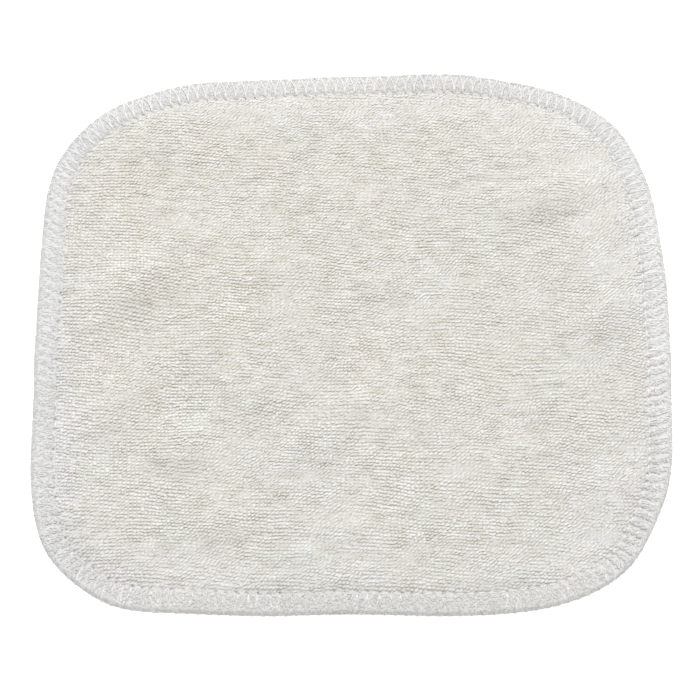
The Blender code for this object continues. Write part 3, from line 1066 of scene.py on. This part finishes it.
def fuzz_mesh(chance, spots, frames, height, depth, place, overlock):
    """Short fine loops of matted pile, uneven in size, height and shade, with painted shade and
    light in the band, painted shade at the needle holes and painted light where the rim turns down.
    """
    normal = frames[2]
    count = len(spots)
    vary = np.clip(chance.normal(size=(3, count)), -2, 2) * np.array(FUZZ_VARIES)[:, None]
    tufts = ripples(np.column_stack([place * EDGE_LENGTH, depth]), TUFTS)
    length = FUZZ_LENGTH * (1 + vary[0])
    width = FUZZ_WIDTH * (1 + vary[1])
    height = height * np.clip(1 + vary[2] + 0.35 * tufts, 0.15, None)
    curl = 0.08 * MM * chance.normal(size=count)
    # Random tone, times the band's painted shade and light
    shade = (1 - 0.14 * chance.random(count)) * painted_band_shade(depth, place)
    shade *= 1 + CLUMP_GLOW * tufts
    # Painted light where the rim turns down
    shade *= 1 + RIM_PAINTED_LIGHT * np.clip(0.9 - normal[:, 2], 0, 0.9)
    # Painted shade in the needle holes
    shade *= 1.02 - 0.30 * needle_holes(depth, place, overlock)
    shades = np.column_stack([shade, white_share(depth, place), np.full(count, 0.5)])
    return loops_mesh(spots, (length, width, height, curl), frames, shades)


def band_fuzz(cloth, overlock):
    """Points and colours of the matted pile under the threads: short fine loops that lie
    across the edge, on a shaken grid of place and distance in."""
    chance = np.random.default_rng(cloth.seed + 4)
    place, share = shaken_grid(chance, 8, 0.66 * MM)
    edge, out = at_edge(place)
    depth = NOSE_CENTRE + share * (needle_line(place) + 0.3 * MM - NOSE_CENTRE)
    plan = edge - out * depth[:, None]
    count = len(plan)
    normal = ground_normals(plan, overlock)
    normal = unit(normal + np.column_stack([chance.normal(0, 0.06, (count, 2)), np.zeros(count)]))
    angle = np.arctan2(out[:, 1], out[:, 0]) + chance.normal(0, 0.6, count)
    frames = (*lie_along(angle, normal), normal)
    spots = np.column_stack([plan, ground_top(plan, depth, place, overlock) - 0.01 * MM])
    height = pile_height(depth, place)
    return fuzz_mesh(chance, spots, frames, height, depth, place, overlock)


def rim_fuzz(cloth, overlock):
    """Points and colours of the matted pile wrapped round the rim, from the top of its
    half circle to under its widest part."""
    chance = np.random.default_rng(cloth.seed + 2)
    place, share = shaken_grid(chance, 6, 0.68 * MM)
    edge, out = at_edge(place)
    turned = np.radians(86 - 126 * share)
    depth = NOSE_CENTRE - PILE_NOSE * np.cos(turned)
    plan = edge - out * depth[:, None]
    spots = np.column_stack([plan, lift(plan) + NOSE_CENTRE + PILE_NOSE * np.sin(turned)])
    normal = np.column_stack([out * np.cos(turned)[:, None], np.sin(turned)])
    along = np.column_stack([-out[:, 1], out[:, 0], np.zeros(len(out))])
    twist = chance.normal(1.4, 0.6, len(out))[:, None]
    heading = unit(along * np.cos(twist) + np.cross(normal, along) * np.sin(twist))
    frames = (heading, np.cross(normal, heading), normal)
    height = 0.65 * MM * stretch_value("fuzz", place)
    return fuzz_mesh(chance, spots, frames, height, depth, place, overlock)


def pile_block(name, points, colours, material):
    """A joined mesh of some of the loops, with their colours."""
    count, size = points.shape[:2]
    triangles = LOOP.faces + size * np.arange(count)[:, None, None]
    piece = mesh_piece(name, points.reshape(-1, 3), triangles.reshape(-1, 3), material)
    paint_points(piece, "pile_state", colours.reshape(-1, 3))
    carry(piece)


def build_pile(cloth, overlock):
    """The pile as joined meshes of loops, each block short of 200,000 triangles."""
    material = pile_material(cloth)
    points, colours = pile_loops(cloth, overlock)
    cuts = np.linspace(0, len(points), PILE_BLOCKS + 1).astype(int)
    for k in range(PILE_BLOCKS):
        some = slice(cuts[k], cuts[k + 1])
        pile_block(f"pile_{k + 1}", points[some], colours[some], material)
    pile_block("pile_band", *band_fuzz(cloth, overlock), material)
    pile_block("pile_rim", *rim_fuzz(cloth, overlock), material)


def band_surface(place, reach, height, overlock):
    """Points over the overlocked band, and their normals.

    reach runs along the section from the top of the rounded rim: positive inwards over
    the top, negative round the rim to the under face. height is over that surface."""
    edge, out = at_edge(place)
    radius = THREAD_NOSE
    angle = math.pi / 2 + np.clip(reach / radius, -math.pi, 0)
    on_top = reach > 0
    under = reach < -math.pi * radius
    inward = NOSE_CENTRE - radius * np.cos(angle)
    inward = np.where(on_top, NOSE_CENTRE + reach, inward)
    inward = np.where(under, NOSE_CENTRE - math.pi * radius - reach, inward)
    plan = edge - out * inward[..., None]
    flat = plan.reshape(-1, 2)
    depth = inward.ravel()
    from_edge = depth * LINE_IN_SECTION / needle_line(place.ravel())
    top = section_value(GROUND_SECTION, from_edge) + pile_height(depth, place.ravel())
    top += band_relief(depth, place.ravel(), overlock)
    top = top.reshape(reach.shape)
    rise = np.where(on_top, top, NOSE_CENTRE + radius * np.sin(angle))
    rise = np.where(under, NOSE_CENTRE - radius, rise)
    base = lift(flat).reshape(reach.shape)
    normal = np.concatenate([out * np.cos(angle)[..., None], np.sin(angle)[..., None]], axis=-1)
    spot = np.concatenate([plan, (base + rise)[..., None]], axis=-1)
    return spot + normal * height[..., None], normal


def tubes(routes, normals, radius, sides):
    """Closed round tubes along many routes at once, each with pointed ends.

    A ring stands at every point of a route, across its tangent. Returns points,
    triangles and a UV of length along and share round for each point."""
    tangent = np.empty_like(routes)
    tangent[:, 1:-1] = routes[:, 2:] - routes[:, :-2]
    tangent[:, 0] = routes[:, 1] - routes[:, 0]
    tangent[:, -1] = routes[:, -1] - routes[:, -2]
    tangent = unit(tangent)
    side = unit(np.cross(tangent, normals))
    up = np.cross(side, tangent)
    turn = np.arange(sides) * 2 * math.pi / sides
    spokes = side[:, :, None, :] * np.cos(turn)[None, None, :, None]
    spokes = spokes + up[:, :, None, :] * np.sin(turn)[None, None, :, None]
    rings = routes[:, :, None, :] + radius * spokes
    many, steps = routes.shape[:2]
    first_end = routes[:, 0] - tangent[:, 0] * radius
    last_end = routes[:, -1] + tangent[:, -1] * radius
    ends = np.stack([first_end, last_end], axis=1)
    points = np.concatenate([rings.reshape(many, steps * sides, 3), ends], axis=1)
    lengths = np.cumsum(np.linalg.norm(np.diff(routes, axis=1), axis=2), axis=1)
    along = np.concatenate([np.zeros((many, 1)), lengths], axis=1)
    u = np.repeat(along, sides, axis=1)
    v = np.tile(np.tile(np.arange(sides) / sides, steps), (many, 1))
    end_uv = np.stack([along[:, 0], along[:, -1]], axis=1)
    uv = np.stack([np.concatenate([u, end_uv], axis=1) / radius,
                   np.concatenate([v, np.zeros((many, 2))], axis=1) * TWIST], axis=2)
    k = np.arange(sides)
    n = (k + 1) % sides
    faces = []
    for step in range(steps - 1):
        a, b = step * sides, (step + 1) * sides
        faces.append(np.column_stack([a + k, a + n, b + n]))
        faces.append(np.column_stack([a + k, b + n, b + k]))
    first_tip, last_tip = steps * sides, steps * sides + 1
    last_ring = (steps - 1) * sides
    faces.append(np.column_stack([np.full(sides, first_tip), n, k]))
    faces.append(np.column_stack([np.full(sides, last_tip), last_ring + k, last_ring + n]))
    faces = np.vstack(faces)
    triangles = faces[None] + (np.arange(many) * (steps * sides + 2))[:, None, None]
    return points.reshape(-1, 3), triangles.reshape(-1, 3), uv.reshape(-1, 2)


def thread_piece(name, routes, normals, overlock, sides, material):
    """A joined mesh of thread tubes with its UV map."""
    points, triangles, uv = tubes(routes, normals, overlock.thread / 2, sides)
    piece = mesh_piece(name, points, triangles, material)
    layer = piece.data.uv_layers.new(name="thread")
    corners = np.empty(len(piece.data.loops), np.int32)
    piece.data.loops.foreach_get("vertex_index", corners)
    layer.data.foreach_set("uv", uv[corners].astype(np.float32).ravel())
    carry(piece)


def upper_looper(chance, stitch, following, overlock):
    """Place, reach and height of the looper thread on the upper face, a row a stitch: up
    a short foot, out round the rim in an arch, and back down the next foot.

    The arch's share runs from -1 to 1. Its reach goes from the apex to the join in step
    with the share, and its two legs stand apart as a narrow neck that rounds off at the
    apex as a half ellipse."""
    count = len(stitch)
    arch = np.linspace(-1, 1, 19)[None, :]
    apex = -0.5 * math.pi * THREAD_NOSE * chance.uniform(1.05, 1.25, count)[:, None]
    join = (overlock.join - NOSE_CENTRE) + chance.normal(0, 0.15 * MM, count)
    next_join = np.roll(join, -1)
    join_reach = np.where(arch < 0, join[:, None], next_join[:, None])
    arch_reach = apex + (join_reach - apex) * np.abs(arch)
    neck = chance.uniform(0.10, 0.30, count)[:, None]
    over_top = neck + (1 - neck) * np.clip(arch_reach / join_reach, 0, 1)
    round_rim = neck * np.sqrt(1 - (np.clip(arch_reach, None, 0) / apex) ** 2)
    spread = np.sign(arch) * np.where(arch_reach > 0, over_top, round_rim)
    middle = ((stitch + following) / 2)[:, None]
    lean = stretch_value("skew", middle[:, 0])[:, None] * (1 - np.abs(spread))
    arch_place = middle + (following - stitch)[:, None] / 2 * (spread + lean)
    pair = PAIR_GAP * overlock.thread / EDGE_LENGTH
    arch_place = arch_place - pair * np.sign(arch) * np.abs(spread) ** 3

    foot = np.linspace(0, 1, FOOT_POINTS + 1)[None, :-1]
    needle = needle_line(stitch)[:, None] - NOSE_CENTRE
    first_reach = needle + (join[:, None] - needle) * foot
    last_reach = needle + (next_join[:, None] - needle) * foot[:, ::-1]
    first_place = np.repeat(stitch[:, None] + pair, FOOT_POINTS, axis=1)
    last_place = np.repeat(following[:, None] - pair, FOOT_POINTS, axis=1)
    reach = np.concatenate([first_reach, arch_reach, last_reach], axis=1)
    place = np.concatenate([first_place, arch_place, last_place], axis=1)

    first_leg = stretch_value("first_leg", place)
    second_leg = stretch_value("second_leg", place)
    foot_height = stretch_value("foot", place)
    ends = np.ones(FOOT_POINTS)
    share = np.concatenate([-ends, arch[0], ends])[None, :]
    leg = np.where(share < 0, first_leg, second_leg)
    blend = np.clip(1.25 - np.abs(share), 0, 1) * np.clip(np.abs(share) * 3, 0, 1)
    height = np.where(np.abs(share) >= 1, foot_height, leg * blend + foot_height * (1 - blend))
    over_rim = np.minimum(OVER_RIM, (first_leg + second_leg) / 2)
    near_rim = np.clip(1 - reach / (0.8 * MM), 0, 1)
    height = height * (1 - near_rim) + over_rim * near_rim
    height = height + 0.05 * chance.normal(size=(count, 1))
    dip = np.zeros(reach.shape[1])
    dip[[0, -1]] = -0.7
    dip[[1, -2]] = -0.15
    return place, reach, (height + dip) * MM


def under_looper(chance, stitch, following, overlock):
    """Place, reach and height of the looper thread on the back, a row a stitch: a rounded
    arch from the rim to a join and out again, whose reach grows as a power of its share."""
    arch = np.linspace(-1, 1, 15)[None, :]
    half_round = math.pi * THREAD_NOSE
    join = half_round + (UNDER_JOIN - NOSE_CENTRE) + chance.normal(0, 0.1 * MM, (len(stitch), 1))
    start = half_round * 0.55
    reach = -(start + (join - start) * np.abs(arch) ** 1.4)
    middle = ((stitch + following) / 2)[:, None]
    place = middle + (following - stitch)[:, None] / 2 * arch
    height = np.interp(-reach / half_round, (0.60, 0.92), (0.03 * MM, -0.13 * MM))
    return place, reach, height


def needle_stitches(chance, stitch, following, overlock):
    """Place, reach and height of the needle thread, a row a stitch: a short run along the
    needle line that dives at both ends as a fourth power."""
    run = np.linspace(0, 1, 8)[None, :]
    place = stitch[:, None] + (following - stitch)[:, None] * run
    reach = needle_line(place) - NOSE_CENTRE + 0.05 * MM * chance.normal(size=(len(stitch), 1))
    height = stretch_value("needle", place) - 0.75 * (2 * run - 1) ** 4
    return place, reach, height * MM


def build_overlock(overlock, seed):
    """The three threads of the overlock, each a joined mesh of one tube a stitch."""
    chance = np.random.default_rng(seed + 3)
    count = overlock.stitch_count
    material = thread_material(overlock)
    stitch = (np.arange(count) + chance.normal(0, 0.05, count)) / count
    following = np.roll(stitch, -1) + (np.arange(count) == count - 1)
    threads = (
        ("upper_looper_thread", upper_looper, 5),
        ("under_looper_thread", under_looper, 4),
        ("needle_thread", needle_stitches, 5),
    )
    for name, run, sides in threads:
        place, reach, height = run(chance, stitch, following, overlock)
        routes, normals = band_surface(place, reach, height, overlock)
        thread_piece(name, routes, normals, overlock, sides, material)


def build_stage(stage):
    """A wide pale floor that glows softly, one large soft light from behind, an even sky
    that the camera sees as white, and the camera, which looks at the cloth's middle from
    the front."""
    material = bpy.data.materials.new("pale floor")
    material.use_nodes = True
    shader = material.node_tree.nodes["Principled BSDF"]
    shader.inputs["Base Color"].default_value = (*stage.floor, 1.0)
    shader.inputs["Roughness"].default_value = 0.9
    shader.inputs["Specular IOR Level"].default_value = 0.1
    shader.inputs["Emission Color"].default_value = (1.0, 1.0, 1.0, 1.0)
    shader.inputs["Emission Strength"].default_value = stage.floor_glow
    corners = np.array([(-1, -1, 0), (1, -1, 0), (1, 1, 0), (-1, 1, 0)]) * FLOOR_HALF
    floor = mesh_piece("pale_floor", corners, np.array([(0, 1, 2, 3)]), material)

    key_data = bpy.data.lights.new("soft_key", "AREA")
    key_data.shape = "DISK"
    key_data.size = KEY_SIZE
    key_data.energy = stage.key_power
    key_data.color = (1.0, 0.995, 0.98)
    key = bpy.data.objects.new("soft_key", key_data)
    key.location = KEY_PLACE
    key.rotation_euler = KEY_TURN
    bpy.context.scene.collection.objects.link(key)

    world = bpy.data.worlds.new("even_sky")
    world.use_nodes = True
    tree = world.node_tree
    sky = tree.nodes["Background"]
    sky.inputs["Color"].default_value = (0.98, 0.99, 1.0, 1.0)
    sky.inputs["Strength"].default_value = stage.sky
    seen = place_node(tree, "ShaderNodeBackground", (0, -200), (1.0, 1.0, 1.0))
    path = place_node(tree, "ShaderNodeLightPath", (0, 400))
    mix = place_node(tree, "ShaderNodeMixShader", (300, 200), path.outputs["Is Camera Ray"],
                     sky.outputs[0], seen.outputs[0])
    fill(tree, tree.nodes["World Output"].inputs["Surface"], mix.outputs[0])
    bpy.context.scene.world = world
    bpy.context.scene.view_settings.view_transform = "Standard"

    back = np.array([0.0, -math.cos(stage.elevation), math.sin(stage.elevation)])
    camera_data = bpy.data.cameras.new("camera")
    camera_data.lens = stage.lens
    camera_data.sensor_width = 36.0
    camera_data.clip_start = 0.01
    camera = bpy.data.objects.new("camera", camera_data)
    camera.location = np.array(AIM) + back * stage.distance
    camera.rotation_euler = (math.pi / 2 - stage.elevation, 0, 0)
    bpy.context.scene.collection.objects.link(camera)
    bpy.context.scene.camera = camera


class MESH_OT_terry_cloth(bpy.types.Operator):
    """Build the knitted ground and the pile of loops"""

    bl_idname = "mesh.terry_cloth"
    bl_label = "Terry Cloth"

    def execute(self, context):
        cloth, overlock = context.scene.terry_sizes, context.scene.overlock_sizes
        build_ground(cloth, overlock)
        build_pile(cloth, overlock)
        return {"FINISHED"}


class MESH_OT_overlock(bpy.types.Operator):
    bl_idname = "mesh.terry_overlock"
    bl_label = "Overlock"

    def execute(self, context):
        cloth = context.scene.terry_sizes
        build_overlock(context.scene.overlock_sizes, cloth.seed)
        others = [item for item in bpy.data.objects if item.name.startswith("pile_")]
        others += [item for item in bpy.data.objects if item.name.endswith("_thread")]
        return {"FINISHED"}


class SCENE_OT_terry_stage(bpy.types.Operator):
    """Set up the floor, the lights and the camera"""

    bl_idname = "scene.terry_stage"
    bl_label = "Stage"

    def execute(self, context):
        build_stage(context.scene.terry_stage)
        return {"FINISHED"}


class VIEW3D_PT_terry_cloth(bpy.types.Panel):
    """Sizes of the cloth and the buttons that build it"""

    bl_label = "Terry Cloth"
    bl_idname = "VIEW3D_PT_terry_cloth"
    bl_space_type = "VIEW_3D"
    bl_region_type = "UI"
    bl_category = "Terry Cloth"

    def draw(self, context):
        scene = context.scene
        for group in (scene.terry_sizes, scene.overlock_sizes, scene.terry_stage):
            box = self.layout.box()
            for name in group.__annotations__:
                box.prop(group, name)
        self.layout.operator(MESH_OT_terry_cloth.bl_idname)
        self.layout.operator(MESH_OT_overlock.bl_idname)
        self.layout.operator(SCENE_OT_terry_stage.bl_idname)


CLASSES = (
    TerryClothSizes,
    OverlockSizes,
    StageSizes,
    MESH_OT_terry_cloth,
    MESH_OT_overlock,
    SCENE_OT_terry_stage,
    VIEW3D_PT_terry_cloth,
)


def register():
    for item in CLASSES:
        bpy.utils.register_class(item)
    bpy.types.Scene.terry_sizes = PointerProperty(type=TerryClothSizes)
    bpy.types.Scene.overlock_sizes = PointerProperty(type=OverlockSizes)
    bpy.types.Scene.terry_stage = PointerProperty(type=StageSizes)


def unregister():
    del bpy.types.Scene.terry_stage
    del bpy.types.Scene.overlock_sizes
    del bpy.types.Scene.terry_sizes
    for item in reversed(CLASSES):
        bpy.utils.unregister_class(item)


def main():
    register()
    bpy.ops.mesh.terry_cloth()
    bpy.ops.mesh.terry_overlock()
    bpy.ops.scene.terry_stage()


if __name__ == "__main__":
    main()
